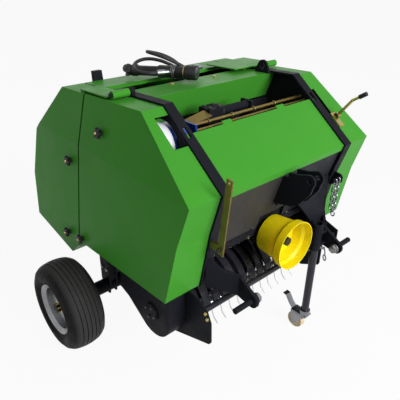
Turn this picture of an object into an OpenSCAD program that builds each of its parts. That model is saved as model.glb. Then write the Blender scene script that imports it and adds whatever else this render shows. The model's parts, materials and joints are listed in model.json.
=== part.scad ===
// Mini round baler for a three-point tractor hitch, parked on its wheels and its stand.
// +X points forward, +Y to the machine's left, +Z up; the ground is z = 0.
// Outline points are [x, z] pairs measured from the nose line, with x negative to the rear.

/* [Body outline] */
// Height of the nose line
nose_z = 908; // [880:1:930]
// Length of the top corner behind the nose
top_back = 290; // [270:1:310]
// Height of the top front corner
top_z = 1131; // [1110:1:1150]
// Fall of the top line toward the rear, per unit of length
top_fall = 0.05; // [0.02:0.01:0.08]
// Height of the lower front corner
chin_z = 501; // [480:1:520]
// Length of the lower front corner behind the nose
chin_back = 97; // [85:1:110]
// Length of the rear top corner behind the nose
rear_top_back = 825; // [800:1:850]
// Length of the rear face behind the nose
rear_back = 1121; // [1100:1:1140]

/* [Chamber] */
// Clear width between the side plates
chamber_w = 710; // [690:1:730]
// Thickness of the side plates
plate_t = 6; // [4:1:8]
// Chamber centre behind the nose
chamber_back = 715; // [705:1:725]
// Chamber centre height
chamber_z = 735; // [725:1:745]
// Pitch circle radius of the forming rollers
roller_circle = 282; // [270:1:286]
// Radius of a forming roller
roller_r = 42; // [36:1:44]

/* [Covers] */
// Thickness of the cover sheet
sheet_t = 3; // [2:0.5:4]
// Depth of the covers outside the side plates at the top line
cover_top = 89; // [80:1:100]
// Depth of the covers at the nose line
cover_nose = 132; // [124:1:140]
// Depth of the covers at the lower edge
cover_low = 167; // [160:1:174]
// Gap between the front body and the tailgate
seam_gap = 10; // [8:1:14]
// Width of the dark flange bar
flange_w = 40; // [30:1:50]
// Height of the flange bar above the covers
flange_t = 8; // [6:1:10]

/* [Wheels] */
// Wheel centre behind the nose
wheel_back = 661; // [650:1:680]
// Tyre radius
tyre_r = 203; // [195:1:210]
// Tyre width
tyre_w = 165; // [150:1:180]
// Gap between the covers' lower edge and the tyre
wheel_gap = 19.5; // [15:0.5:25]
// Radius of the stub axle
stub_r = 20; // [16:1:24]

/* [Hitch] */
// Lower link pin height
low_pin_z = 487; // [480:1:495]
// Lower link pin ahead of the nose
low_pin_x = 79; // [70:1:90]
// Radius of the lower link pins
low_pin_r = 11; // [10:0.5:14]
// Free length of a lower link pin
low_pin_l = 84; // [70:1:95]
// Height of the top link hole
top_pin_z = 889; // [880:1:900]
// Top link hole ahead of the nose
top_pin_x = 92; // [85:1:100]
// Radius of the top link hole
top_pin_r = 10; // [9:0.5:12.5]
// Input shaft height
pto_z = 594; // [590:1:600]
// Radius of the input shaft
pto_r = 17.5; // [16:0.5:18]

/* [Stand] */
// Stand ahead of the nose
stand_x = 4; // [2:1:8]
// Stand to the left of the middle
stand_y = 216; // [210:1:222]
// Radius of the stand's leg
leg_r = 17; // [15:0.5:18]
// Radius of the caster wheel
caster_r = 40; // [36:1:44]

/* [Pickup] */
// Reel axis behind the nose
reel_back = 228; // [220:1:235]
// Reel axis height
reel_z = 360; // [355:1:365]
// Radius to the tine tips
tine_tip_r = 196; // [188:1:198]
// Outer radius of the guard bands
band_r = 152; // [145:1:156]
// Number of guard bands
band_count = 14; // [12:1:16]
// Reach of the pickup outside the side plates
pickup_reach = 44; // [40:1:48]

/* [Hidden] */
$fn = 48;
green = "#3f9a37";
black = "#2b2b33";
steel = "#c9ccd0";
yellow = "#e3c400";
zinc = "#b79b4b";

// Running clearance of a shaft in its bore
run = 0.05;
// Clearance of a piece that swings past another
swing = 5;
plate_in = chamber_w / 2;
plate_out = plate_in + plate_t;
half_top = plate_out + cover_top;
half_nose = plate_out + cover_nose;
half_low = plate_out + cover_low;
track_half = half_low + wheel_gap + tyre_w / 2;
pickup_half = plate_out + pickup_reach;
band_pitch = chamber_w / band_count;
band_w = band_pitch * 2 / 3;
far = 1400;
// The nose line lies so that the machine's middle is at x = 0
clevis_r = 25;
nose_x = (rear_back - top_pin_x - clevis_r) / 2;

// Helpers for outlines
function unit(v) = v / norm(v);
function left_of(a, b) = let(d = unit(b - a)) [-d[1], d[0]];
function meet(p, d, q, e) =
    let(k = d[0] * e[1] - d[1] * e[0], r = q - p)
    p + d * ((r[0] * e[1] - r[1] * e[0]) / k);
function cyc(p, i) = p[(i + len(p)) % len(p)];
// Outline p, listed clockwise as seen with x to the right and z up, moved inward by d[i] at edge i
function inset(p, d) = [for (i = [0:len(p) - 1])
    let(a = cyc(p, i - 1), b = p[i], c = cyc(p, i + 1),
        n1 = -left_of(a, b) * cyc(d, i - 1), n2 = -left_of(b, c) * d[i])
    meet(b + n1, b - a, b + n2, c - b)];
// Path p moved sideways by t, to its left
function beside(p, t) = [for (i = [0:len(p) - 1])
    let(a = p[max(i - 1, 0)], b = p[i], c = p[min(i + 1, len(p) - 1)])
    i == 0 ? b + left_of(b, c) * t
    : i == len(p) - 1 ? b + left_of(a, b) * t
    : meet(b + left_of(a, b) * t, b - a, b + left_of(b, c) * t, c - b)];
function reversed(p) = [for (i = [len(p) - 1:-1:0]) p[i]];
function strip(p, t) = concat(p, reversed(beside(p, t)));
function arc(c, r, from, to, steps) = [for (i = [0:steps])
    let(a = from + (to - from) * i / steps) c + r * [cos(a), sin(a)]];
function same(d, n) = [for (i = [1:n]) d];
// Direction of route p at point i, and a normal carried along the route from the one given
function heading(p, i, closed) = closed
    ? unit(cyc(p, i + 1) - cyc(p, i - 1))
    : unit(p[min(i + 1, len(p) - 1)] - p[max(i - 1, 0)]);
function carried(p, closed, normal, i = 0) = i == len(p) ? []
    : let(t = heading(p, i, closed), n = unit(normal - (normal * t) * t))
        concat([n], carried(p, closed, n, i + 1));

// Helpers for placing
module at_nose() {
    translate([nose_x, 0, 0]) children();
}
module along_y(from, to) {
    translate([0, to, 0]) rotate([90, 0, 0]) linear_extrude(to - from) children();
}
module along_x(from, to) {
    translate([from, 0, 0]) rotate([90, 0, 90]) linear_extrude(to - from) children();
}
module rod_y(x, z, r, from, to) {
    translate([x, from, z]) rotate([-90, 0, 0]) cylinder(r = r, h = to - from);
}
module rod(from, to, r) {
    d = to - from;
    translate(from)
        rotate([0, acos(d[2] / norm(d)), atan2(d[1], d[0])])
            cylinder(r = r, h = norm(d));
}
module other_side() {
    mirror([0, 1, 0]) children();
}
// Round bar or hose along route p
module swept(p, r, sides, normal, closed = false) {
    n = len(p);
    across = carried(p, closed, normal);
    points = [for (i = [0:n - 1]) for (k = [0:sides - 1])
        let(a = 360 * k / sides, u = across[i], v = cross(heading(p, i, closed), u))
        p[i] + r * (cos(a) * u + sin(a) * v)];
    walls = [for (i = [0:closed ? n - 1 : n - 2]) for (k = [0:sides - 1])
        let(j = (i + 1) % n, m = (k + 1) % sides)
        [i * sides + k, j * sides + k, j * sides + m, i * sides + m]];
    first = [for (k = [0:sides - 1]) k];
    last = [for (k = [0:sides - 1]) n * sides - 1 - k];
    polyhedron(points, closed ? walls : concat(walls, [first, last]));
}

// Outline of the body
function top_line(x) = top_z + (x + top_back) * top_fall;
nose = [0, nose_z];
top_corner = [-top_back, top_z];
cheek = [-50, 743];
chin = [-chin_back, chin_z];
keel = [-655, 467];
heel = [-704, 435];
seam_top = [-646, top_line(-646)];
rear_top = [-rear_top_back, top_line(-rear_top_back)];
rear_slope = [-1051, 879];
rear_waist = [-rear_back, 645];
rear_foot = [-1114, 428];
rear_keel = [-775, 373];
front_outline = [seam_top, top_corner, nose, cheek, chin, keel, heel];
seam_rear = seam_top[0] - seam_gap;
rear_outline = [rear_foot, rear_waist, rear_slope, rear_top, [seam_rear, top_line(seam_rear)],
    heel - [seam_gap, 0], rear_keel];
flange_path = [[-596, top_line(-596)], top_corner, nose, cheek, chin];

// Tailgate hinge
hinge_x = -485;
hinge_z = top_line(hinge_x) + 18;
hinge_pin_r = 8;
knuckle_r = 14;
knuckle_from = plate_out + swing;
knuckle_to = plate_out + cover_top - 14;

// Leaning sides of the covers, as a [y, z] outline
function half_at(z) = z > nose_z
    ? half_nose + (half_top - half_nose) * (z - nose_z) / (top_z - nose_z)
    : half_nose + (half_low - half_nose) * (nose_z - z) / (nose_z - rear_keel[1]);
section_low = 300;
section_high = 1250;
module lean(t) {
    polygon([[plate_out - 1, section_low], [half_at(section_low) - t, section_low], [half_nose - t, nose_z],
        [half_at(section_high) - t, section_high], [plate_out - 1, section_high]]);
}
// Hollow cover over one outline, open toward the side plate
module cover(outline, walls) {
    difference() {
        intersection() {
            along_y(plate_out, far) polygon(outline);
            along_x(-far, far) lean(0);
        }
        intersection() {
            along_y(plate_out - 1, far) polygon(inset(outline, walls));
            along_x(-far, far) lean(sheet_t);
        }
    }
}

// Side frames: plate, flange bar, axle leg and hinge pin
leg_half = 48;
module frame_plate() {
    axle_at = [-wheel_back, tyre_r];
    along_y(plate_in, plate_out) {
        polygon(inset(front_outline, [sheet_t, 0, 0, 0, sheet_t, sheet_t, 0]));
        polygon(concat([[-560, 480], [-wheel_back + leg_half, axle_at[1]]],
            arc(axle_at, leg_half, 0, -180, 16), [heel + [5, 8]]));
    }
}
slope_dir = unit(nose - top_corner);
slope_up = left_of(top_corner, nose);
// Box cut through the slope between two distances from the top corner
module slope_cut(from, to, y_from, y_to) {
    a = top_corner + slope_dir * from;
    b = top_corner + slope_dir * to;
    along_y(y_from, y_to)
        polygon([a + slope_up * 20, b + slope_up * 20, b - slope_up * 20, a - slope_up * 20]);
}
flange_mid = plate_out - flange_w / 2;
flange_slot = [98, 143];
slot_half = 7;
module side_frame() {
    frame_plate();
    difference() {
        along_y(plate_out - flange_w, plate_out) polygon(strip(flange_path, flange_t));
        slope_cut(flange_slot[0], flange_slot[1], flange_mid - slot_half, flange_mid + slot_half);
    }
    rod_y(hinge_x, hinge_z, knuckle_r, plate_out - 16, plate_out);
    along_y(plate_out - 16, plate_out)
        polygon([[hinge_x - knuckle_r, hinge_z], [hinge_x + knuckle_r, hinge_z],
            [hinge_x + knuckle_r, hinge_z - 14], [hinge_x - knuckle_r, hinge_z - 14]]);
    rod_y(hinge_x, hinge_z, hinge_pin_r, plate_out - 1, knuckle_to + 6);
}
module side_frame_left() {
    color(black) at_nose() side_frame();
}
drum_at = [-292, 1000];
drum_r = 75;
drum_inner = -(plate_in - 65);
drum_outer = -(plate_out + 36);
module side_frame_right() {
    color(black) at_nose() difference() {
        other_side() side_frame();
        rod_y(drum_at[0], drum_at[1], drum_r + 10, -plate_out - 1, -plate_in + 1);
    }
}

// Front covers
front_walls = [sheet_t, sheet_t, sheet_t, sheet_t, sheet_t, sheet_t, -40];
lever_slot = [83, 232];
lever_slot_w = 28;
module front_cover_left() {
    color(green) at_nose() difference() {
        cover(front_outline, front_walls);
        slope_cut(lever_slot[0], lever_slot[1], plate_out, plate_out + lever_slot_w);
    }
}
window = [35, 165];
window_rim = 32;
module front_cover_right() {
    color(green) at_nose() other_side() difference() {
        cover(front_outline, front_walls);
        slope_cut(window[0], window[1], plate_out, half_top - window_rim);
    }
}

// Hood between the flange bars, with a folded lip at the nose
hood_back = 191;
lip = 26;
module hood() {
    top = nose - slope_dir * (hood_back / slope_dir[0]);
    path = [top, nose, nose + unit(cheek - nose) * lip];
    color(green) at_nose() {
        along_y(-plate_in, plate_in) polygon(strip(path, -sheet_t));
        for (y = [-150, 140])
            along_y(y - 22, y + 22) polygon(strip([top - slope_dir * 14, top], -sheet_t));
    }
}

// Top plate with its slanted front face
module top_plate() {
    path = [[-565, top_line(-565)], [-410, top_line(-410)], [-456, 1010]];
    color(green) at_nose() along_y(-plate_in, plate_in) polygon(strip(path, -sheet_t));
}

// Wall behind the mast, with an angle bar at its foot
wall_t = 4;
wall_top = [-16, 878];
wall_foot = [-100, 603];
box_half = 75;
box_top = pto_z + 101;
module front_wall() {
    path = [wall_top, wall_foot, wall_foot + [-32, -4]];
    color(black) at_nose() difference() {
        along_y(-plate_in, plate_in) polygon(strip(path, -wall_t));
        translate([-300, -box_half, 500]) cube([300, 2 * box_half, box_top - 500]);
    }
}

// Tray under the twine gear
tray_path = [[-452, 1006], [-405, 925], [-130, 905]];
function tray_z(x) = tray_path[2][1]
    + (x - tray_path[2][0]) * (tray_path[1][1] - tray_path[2][1]) / (tray_path[1][0] - tray_path[2][0]);
module twine_tray() {
    color(black) at_nose() difference() {
        along_y(-plate_in, plate_in) polygon(strip(tray_path, -sheet_t));
        rod_y(drum_at[0], drum_at[1], drum_r + 6, -plate_in - 1, drum_inner + 5);
    }
}

// Forming rollers: hollow drums on short shafts
roller_wall = 4;
roller_end = 10;
roller_shaft_r = 15;
front_angles = [70, 40, 10, -20, -75];
rear_angles = [105, 135, 165, 195, 225, 255];
module roller(angle) {
    p = [-chamber_back, chamber_z] + roller_circle * [cos(angle), sin(angle)];
    drum_half = plate_in - 9;
    difference() {
        union() {
            rod_y(p[0], p[1], roller_r, -drum_half, drum_half);
            rod_y(p[0], p[1], roller_shaft_r, -plate_in, plate_in);
        }
        rod_y(p[0], p[1], roller_r - roller_wall, -drum_half + roller_end, drum_half - roller_end);
    }
}
module rollers_front() {
    color("#55565c") at_nose() for (a = front_angles) roller(a);
}
module rollers_rear() {
    color("#55565c") at_nose() for (a = rear_angles) roller(a);
}

// Axle beam between the legs, with stub axles outside
beam = 50;
beam_wall = 5;
hollow = beam - 2 * beam_wall;
hub_out = 58;
hub_in = -50;
stub_to = track_half + hub_out + 4;
collar_to = track_half + hub_in - 69;
module axle() {
    color(black) at_nose() {
        difference() {
            translate([-wheel_back - beam / 2, -plate_in, tyre_r - beam / 2])
                cube([beam, 2 * plate_in, beam]);
            translate([-wheel_back - hollow / 2, beam_wall - plate_in, tyre_r - hollow / 2])
                cube([hollow, 2 * (plate_in - beam_wall), hollow]);
        }
        for (s = [0, 1]) mirror([0, s, 0]) {
            rod_y(-wheel_back, tyre_r, stub_r, plate_out, stub_to);
            rod_y(-wheel_back, tyre_r, stub_r + 12, plate_out, collar_to);
        }
    }
}

// Wheels, revolved about the machine's Y axis with the outer side at positive radius height
rim_r = 117;
seat_r = 102;
module revolved_wheel(side) {
    translate([-wheel_back, side * track_half, tyre_r])
        rotate([-90 * side, 0, 0]) rotate_extrude($fn = 72) children();
}
module rim_profile() {
    polygon([[stub_r + run, hub_in], [42, hub_in], [42, 26], [88, 12], [92, -45], [seat_r - 4, -60],
        [seat_r - 4, -66], [rim_r, -72], [rim_r, -66], [seat_r, -60], [seat_r, 60], [rim_r, 66], [rim_r, 72],
        [seat_r - 4, 66], [seat_r - 4, 56], [94, 22], [60, 34], [44, 40], [42, hub_out],
        [stub_r + run, hub_out]]);
}
groove_w = 8;
groove_d = 7;
groove_pitch = 24;
module tyre_profile() {
    half = tyre_w / 2;
    tread = [for (i = [-2:2]) each [
        [tyre_r, i * groove_pitch - groove_w / 2], [tyre_r - groove_d, i * groove_pitch - groove_w / 4],
        [tyre_r - groove_d, i * groove_pitch + groove_w / 4], [tyre_r, i * groove_pitch + groove_w / 2]]];
    polygon(concat([[seat_r, -60], [rim_r + 3, -65], [rim_r + 12, -72], [150, -half], [174, -half + 3],
        [192, -half + 12], [tyre_r - 2, -half + 24]], tread,
        [[tyre_r - 2, half - 24], [192, half - 12], [174, half - 3], [150, half], [rim_r + 12, 72],
        [rim_r + 3, 65], [seat_r, 60]]));
}
module rim_left() {
    color(steel) at_nose() revolved_wheel(1) rim_profile();
}
module tyre_left() {
    color("#1c1c1e") at_nose() revolved_wheel(1) tyre_profile();
}
module rim_right() {
    color(steel) at_nose() revolved_wheel(-1) rim_profile();
}
module tyre_right() {
    color("#1c1c1e") at_nose() revolved_wheel(-1) tyre_profile();
}

// Hitch arms: bent plates from the flange bar to the lower link pins
arm_t = 12;
arm_in = 256;
arm_bend = [8, arm_in];
arm_root = [-64, plate_out - 31];
arm_tip_r = 28;
module arm_front() {
    tip = [low_pin_x, low_pin_z];
    along_y(arm_in, arm_in + arm_t)
        polygon(concat([[arm_bend[0] - 6, 472], [arm_bend[0] - 6, 560], [arm_bend[0] + 10, 556]],
            arc(tip, arm_tip_r, 52, -100, 12)));
}
module arm_web() {
    d = arm_root - arm_bend;
    length = norm(d) + 20;
    translate([arm_bend[0], arm_bend[1] + 2, 0])
        rotate([0, 0, atan2(d[1], d[0])])
            translate([0, -arm_t, 0]) rotate([90, 0, 0]) mirror([0, 0, 1]) linear_extrude(arm_t)
                polygon([[0, 472], [0, 560], [57, 580], [86, 600], [104, 632], [length, 650], [length, 508]]);
}
module hitch_arm() {
    difference() {
        union() {
            arm_front();
            arm_web();
        }
        behind_flanges();
    }
    rod_y(low_pin_x, low_pin_z, low_pin_r, arm_in + 1, arm_in + arm_t + low_pin_l);
    rod_y(low_pin_x, low_pin_z, low_pin_r + 7, arm_in - 10, arm_in + 1);
}
module hitch_arm_left() {
    color(black) at_nose() hitch_arm();
}
module hitch_arm_right() {
    color(black) at_nose() other_side() hitch_arm();
}

// Mast: two top link plates on the wall, with one broad leg to the left arm
clevis_in = 20;
clevis_t = 9;
mast_x = -44;
mast_t = 10;
mast_half = plate_out - 47;
module mast() {
    tip = [top_pin_x, top_pin_z];
    color(black) at_nose() difference() {
        union() {
            for (s = [0, 1]) mirror([0, s, 0]) {
                difference() {
                    along_y(clevis_in, clevis_in + clevis_t)
                        polygon(concat([[4, 894], [50, 901]], arc(tip, clevis_r, 100, -40, 12),
                            [[104, 844], [60, 785], [28, 768], [-22, 756], [-60, 750], [-30, 866],
                            [4, 876]]));
                    rod_y(tip[0], tip[1], top_pin_r, 0, 60);
                }
            }
            along_x(mast_x, mast_x + mast_t)
                polygon([[-clevis_in - clevis_t, 790], [-clevis_in - clevis_t, 745], [60, 742], [115, 695],
                    [228, 570], [236, 500], [mast_half, 500], [mast_half, 600], [mast_half - 14, 770],
                    [60, 800]]);
        }
        arm_web();
        along_y(-far, far) polygon([wall_top, wall_foot, [-300, 603], [-300, 900]]);
    }
}

// Gearbox with its input boss
module gearbox() {
    color(black) at_nose() difference() {
        union() {
            translate([-196, -box_half, pto_z - 29]) cube([100, 2 * box_half, box_top - pto_z + 29]);
            translate([-97, 0, pto_z]) rotate([0, 90, 0]) cylinder(r = 36, h = 97 + cup_back);
        }
        translate([-140, 0, pto_z]) rotate([0, 90, 0]) cylinder(r = pto_r + 3 + run, h = 100);
    }
}

// Input shaft guard: a round cup and its flared rim, as [radius, x] profiles
cup_back = -77;
cup_floor = -20;
cup_rim = 56;
cup_wall = 3;
cup_mouth = [[87, 12], [84, 14]];
module revolved_guard() {
    color(yellow) at_nose() translate([0, 0, pto_z]) rotate([0, 90, 0]) rotate_extrude($fn = 72) children();
}
module pto_guard() {
    revolved_guard()
        polygon(concat([[pto_r + 11.5, cup_back], [78, cup_back]], cup_mouth,
            [[76, cup_floor], [30, cup_floor - 6], [30, cup_floor - 9], [78, cup_floor - 3],
            [75, cup_back + cup_wall], [pto_r + 11.5, cup_back + cup_wall]]));
}
module guard_rim() {
    revolved_guard()
        polygon(concat([[94, 26]], reversed(cup_mouth),
            [[97, 24], [100, cup_rim], [100 - cup_wall, cup_rim]]));
}
stub_tip = 18;
module pto_stub() {
    color("#3a3a3e") at_nose() translate([0, 0, pto_z]) rotate([0, 90, 0]) {
        translate([0, 0, -139]) cylinder(r = pto_r + 3, h = 139 + cup_floor);
        translate([0, 0, cup_floor - 1]) cylinder(r = pto_r, h = stub_tip - cup_floor + 1);
    }
}

// Stand: sleeve on the left arm, sliding leg and caster
sleeve_r = 23;
sleeve_low = 462;
sleeve_high = 590;
module stand_sleeve() {
    color(black) at_nose() translate([stand_x, stand_y, 0]) difference() {
        union() {
            translate([0, 0, sleeve_low]) cylinder(r = sleeve_r, h = sleeve_high - sleeve_low);
            for (z = [478, 540])
                translate([2, 0, z]) cube([20, arm_in - stand_y, 12]);
        }
        translate([0, 0, sleeve_low - 1]) cylinder(r = leg_r + run, h = sleeve_high);
    }
}
leg_low = 122;
leg_high = 572;
module stand_leg() {
    color(black) at_nose() translate([stand_x, stand_y, leg_low]) cylinder(r = leg_r, h = leg_high - leg_low);
}
caster_trail = 40;
fork_half = 20;
module caster_fork() {
    color(steel) at_nose() translate([stand_x, stand_y, 0]) {
        translate([0, 0, leg_low - 26]) cylinder(r = 24, h = 26);
        translate([-caster_trail - 22, -fork_half - 3, 88]) cube([82, 2 * fork_half + 6, 9]);
        for (s = [0, 1]) mirror([0, s, 0])
            along_y(fork_half, fork_half + 3)
                polygon(concat([[16, 90], [-caster_trail - 22, 90]],
                    arc([-caster_trail, caster_r], 14, 180, 360, 12)));
        rod_y(-caster_trail, caster_r, 6, -fork_half - 1, fork_half + 1);
        along_y(-16, 16)
            polygon(strip([[-caster_trail + 8, 96], [-caster_trail - 22, 96], [-84, 118], [-104, 148],
                [-122, 150]], -3));
    }
}
module caster_wheel() {
    color("#d8cf9a") at_nose() translate([stand_x - caster_trail, stand_y, caster_r])
        rotate([90, 0, 0]) rotate_extrude($fn = 48)
            polygon([[6 + run, -15], [16, -15], [18, -12], [30, -12], [caster_r - 2, -15], [caster_r, -12],
                [caster_r, 12], [caster_r - 2, 15], [30, 12], [18, 12], [16, 15], [6 + run, 15]]);
}

// Pickup: end plates, chain case, guard bands and reel
reel = [-reel_back, reel_z];
reel_shaft_r = 20;
plate_face = pickup_half + 6;
function keel_line(x) = chin_z + (x + chin_back) * (chin_z - keel[1]) / (-chin_back - keel[0]);
plate_rear = [[-390, keel_line(-390)], [-100, keel_line(-100)]];
module pickup_plate(front) {
    difference() {
        along_y(pickup_half, plate_face) polygon(concat(plate_rear, front, [[-370, 330]]));
        rod_y(reel[0], reel[1], reel_shaft_r + run, pickup_half - 1, plate_face + 1);
    }
    along_y(plate_out, pickup_half + 1)
        polygon(concat(arc(reel, band_r, 46, band_low, 8), arc(reel, band_r - band_t, band_low, 46, 8)));
}
module pickup_plate_left() {
    color(black) at_nose()
        pickup_plate([[-75, 492], [-8, 470], [-8, 425], [-75, 405], [-75, 248], [-81, 238], [-177, 190],
            [-300, 225]]);
}
module pickup_plate_right() {
    color(black) at_nose() other_side()
        pickup_plate(concat([[-40, 490], [0, 468], [22, 424]], arc([3, 342], 22, 0, -70, 6),
            [[-189, 246], [-300, 250]]));
}
case_to = plate_face + 74;
case_r = 108;
case_t = 4;
case_outline = concat([[-440, keel_line(-440)], [-118, keel_line(-118)]], arc(reel, case_r, 8, -125, 16),
    [[-390, 335], [-440, 350]]);
module chain_case() {
    color(black) at_nose() other_side() {
        difference() {
            along_y(plate_face, case_to) polygon(case_outline);
            along_y(plate_face - 1, case_to - case_t)
                polygon(inset(case_outline, same(case_t, len(case_outline))));
        }
        rod_y(reel[0], reel[1], 38, case_to - 1, case_to + 8);
    }
}
band_t = 5;
band_low = 3;
pan_front = -400;
pan_back = -585;
pan_fall = 7;
module pickup_bands() {
    rear = [[pan_front - 2, reel_z + band_r - band_t], [pan_front - 2, reel_z + band_r]];
    outline = concat(arc(reel, band_r, 90, band_low, 12), arc(reel, band_r - band_t, band_low, 90, 12), rear);
    color("#33333c") at_nose() {
        for (i = [0:band_count - 1])
            translate([0, (i - (band_count - 1) / 2) * band_pitch, 0])
                along_y(-band_w / 2, band_w / 2) polygon(outline);
        along_y(-plate_in, plate_in)
            polygon(strip([[pan_front, reel_z + band_r], [pan_back, reel_z + band_r - pan_fall]], band_t));
    }
}
tine_r = 2.5;
bar_r = 10;
bar_circle = 96;
disc_r = 110;
bar_count = 4;
bar_turn = 72;
tine_knee = 168;
tine_lean = 18;
module tine() {
    tip = [sqrt(tine_tip_r * tine_tip_r - tine_lean * tine_lean) - 1, 0, tine_lean];
    rod([bar_circle, 0, 0], [tine_knee + 1, 0, 0], tine_r, $fn = 6);
    rod([tine_knee, 0, 0], tip, tine_r, $fn = 6);
}
module pickup_reel() {
    bar_half = plate_in - 10;
    color("#8a8c92") at_nose() translate([reel[0], 0, reel[1]]) {
        rod_y(0, 0, reel_shaft_r, -plate_face, plate_face);
        for (s = [-1, 1]) rod_y(0, 0, disc_r, s * bar_half - 2, s * bar_half + 2);
        for (k = [0:bar_count - 1]) rotate([0, bar_turn + k * 360 / bar_count, 0]) {
            rod_y(bar_circle, 0, bar_r, -bar_half, bar_half);
            for (i = [1:band_count - 1]) translate([0, (i - band_count / 2) * band_pitch, 0]) tine();
        }
    }
}
module crop_guard() {
    color(black) at_nose() rod_y(-30, 442, 11, -pickup_half, pickup_half);
}

// Twine gear
module twine_drum() {
    color("#1d2f7a") at_nose() {
        rod_y(drum_at[0], drum_at[1], drum_r, drum_outer, drum_inner);
        rod_y(drum_at[0], drum_at[1], 12, drum_inner - 1, drum_inner + 28);
        along_y(drum_inner + 20, drum_inner + 28)
            polygon([[-318, 1062], [-228, 1062], [-228, tray_z(-228)], [-318, tray_z(-318)]]);
    }
}
module drum_flange() {
    color("#e8e8ea") at_nose() rod_y(drum_at[0], drum_at[1], 89, drum_outer - 8, drum_outer);
}
module twine_drive() {
    color(black) at_nose() {
        for (y = [[-139, -66, 1072], [88, 100, 1064]])
            along_y(y[0], y[1])
                polygon([[-360, tray_z(-360)], [-360, y[2]], [-300, y[2]], [-300, tray_z(-300)]]);
        rod_y(-330, 1045, 17, -67, 89);
    }
}
module twine_rods() {
    color(zinc) at_nose() {
        rod_y(-262, 1048, 6, drum_inner + 28, plate_in);
        rod_y(-240, 1036, 5, drum_inner + 28, plate_in);
    }
}

// Levers, eye and chain
function slope_z(x) = nose_z - x * (top_z - nose_z) / top_back;
lever_base = [-118, -62];
lever_bar_r = 6;
module hand_lever() {
    y = plate_out + 26;
    foot = [-90, y, slope_z(-90) + 20];
    elbow = [-36, y + 6, slope_z(-36) + 136];
    tip = [12, y + 8, slope_z(12) + 206];
    color(zinc) at_nose() {
        along_y(y - 15, y + 15)
            polygon(strip([for (x = lever_base) [x, slope_z(x)]], 6));
        rod_y(foot[0], foot[2], 12, y - 9, y + 9);
        rod(foot, elbow, lever_bar_r);
        translate(elbow) sphere(r = lever_bar_r + 1);
        rod(elbow, tip, lever_bar_r);
    }
}
eye = [-436, top_line(-436) + 28.3];
module lifting_eye() {
    color(black) at_nose() difference() {
        along_y(plate_in - 60, plate_in - 50)
            polygon(concat([[-478, top_line(-478)]], arc(eye, 26, 160, 20, 12), [[-394, top_line(-394)]]));
        rod_y(eye[0], eye[1], 13, plate_in - 61, plate_in - 49);
    }
}
// Room taken by the flange bars and what lies behind them
module behind_flanges() {
    along_y(-far, far) polygon(concat(beside([nose, cheek, chin], flange_t), [[-200, 400], [-200, 908]]));
}
lever_t = 6;
lever_w = 26;
lever_l = 307;
module lift_lever() {
    color("#6b7a2e") at_nose() {
        translate([-9, 9 - plate_out, 683]) rotate([3, 8.5, 0]) difference() {
            translate([-6, -lever_t / 2, 0]) cube([lever_w, lever_t, lever_l]);
            rod_y(7, lever_l - 12, 6, -lever_t, lever_t);
        }
        difference() {
            along_y(4 - plate_out, 16 - plate_out)
                polygon([[-80, 690], [-80, 718], [-2, 718], [-6, 690]]);
            behind_flanges();
        }
    }
}
link_wire = 6;
link_half = 13;
link_side = 8;
link_pitch = 2 * link_half - link_wire - 0.2;
chain_x = -2;
chain_top = 765;
hook_r = 4;
// Strands as [distance inside the hook plate, number of links]
strands = [[14, 9], [37, 7]];
module link() {
    bow = link_half - link_side;
    loop = concat([for (a = [0:30:180]) [link_side * cos(a), 0, bow + link_side * sin(a)]],
        [for (a = [180:30:360]) [link_side * cos(a), 0, -bow + link_side * sin(a)]]);
    swept(loop, link_wire / 2, 6, [1, 0, 0], closed = true);
}
module check_chain() {
    color(steel) at_nose() for (strand = strands) for (i = [0:strand[1] - 1])
        translate([chain_x, flange_mid - strand[0], chain_top - link_half - i * link_pitch])
            rotate([0, 0, 90 * (i % 2)]) link();
}
module chain_hook() {
    z = chain_top - link_wire / 2 - hook_r - 0.1;
    color(black) at_nose() {
        difference() {
            along_y(flange_mid - 3, flange_mid + 3)
                polygon([[-80, 700], [-80, 780], [-4, 776], [8, 766], [8, 742], [-6, 730]]);
            behind_flanges();
        }
        rod_y(chain_x, z, hook_r, flange_mid - strands[1][0] - 14, flange_mid);
    }
}
// Tailgate: side plates, skin, covers and hinge arms
module tailgate_side() {
    along_y(plate_in, plate_out) polygon(inset(rear_outline, same(sheet_t, len(rear_outline))));
}
module tailgate_side_left() {
    color(black) at_nose() tailgate_side();
}
module tailgate_side_right() {
    color(black) at_nose() other_side() tailgate_side();
}
skin_front = -690;
skin_top = top_line(skin_front);
skin_lip = 16;
module tailgate_skin() {
    path = [[skin_front, skin_top - skin_lip], [skin_front, skin_top], rear_top, rear_slope, rear_waist,
        rear_waist + 0.8 * (rear_foot - rear_waist)];
    color(green) at_nose() along_y(-plate_in, plate_in) polygon(strip(path, sheet_t));
}
rear_walls = [sheet_t, sheet_t, sheet_t, sheet_t, -40, sheet_t, sheet_t];
module rear_cover_left() {
    color(green) at_nose() cover(rear_outline, rear_walls);
}
module rear_cover_right() {
    color(green) at_nose() other_side() cover(rear_outline, rear_walls);
}
arm_plate_t = 5;
arm_back = -690;
module hinge_arm(inner, lift) {
    front = hinge_x - knuckle_r - 7;
    difference() {
        union() {
            along_y(inner, half_top - 4)
                polygon(strip([for (x = [arm_back, front]) [x, top_line(x) + lift]], arm_plate_t));
            along_y(knuckle_from, half_top - 4)
                polygon(strip([for (x = [arm_back, arm_back + 26]) [x, top_line(x)]], lift + 1));
            rod_y(hinge_x, hinge_z, knuckle_r, knuckle_from, knuckle_to);
            along_y(knuckle_from, knuckle_to)
                polygon([[hinge_x, hinge_z - 5], [hinge_x, hinge_z + 2], [front - 2, hinge_z + 2],
                    [front - 2, top_line(front) + lift]]);
        }
        rod_y(hinge_x, hinge_z, hinge_pin_r + run, knuckle_from - 1, knuckle_to + 1);
    }
}
module hinge_arm_left() {
    color(green) at_nose() hinge_arm(plate_in - 155, 14);
}
module hinge_arm_right() {
    color(green) at_nose() other_side() hinge_arm(knuckle_from, 6);
}
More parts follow.
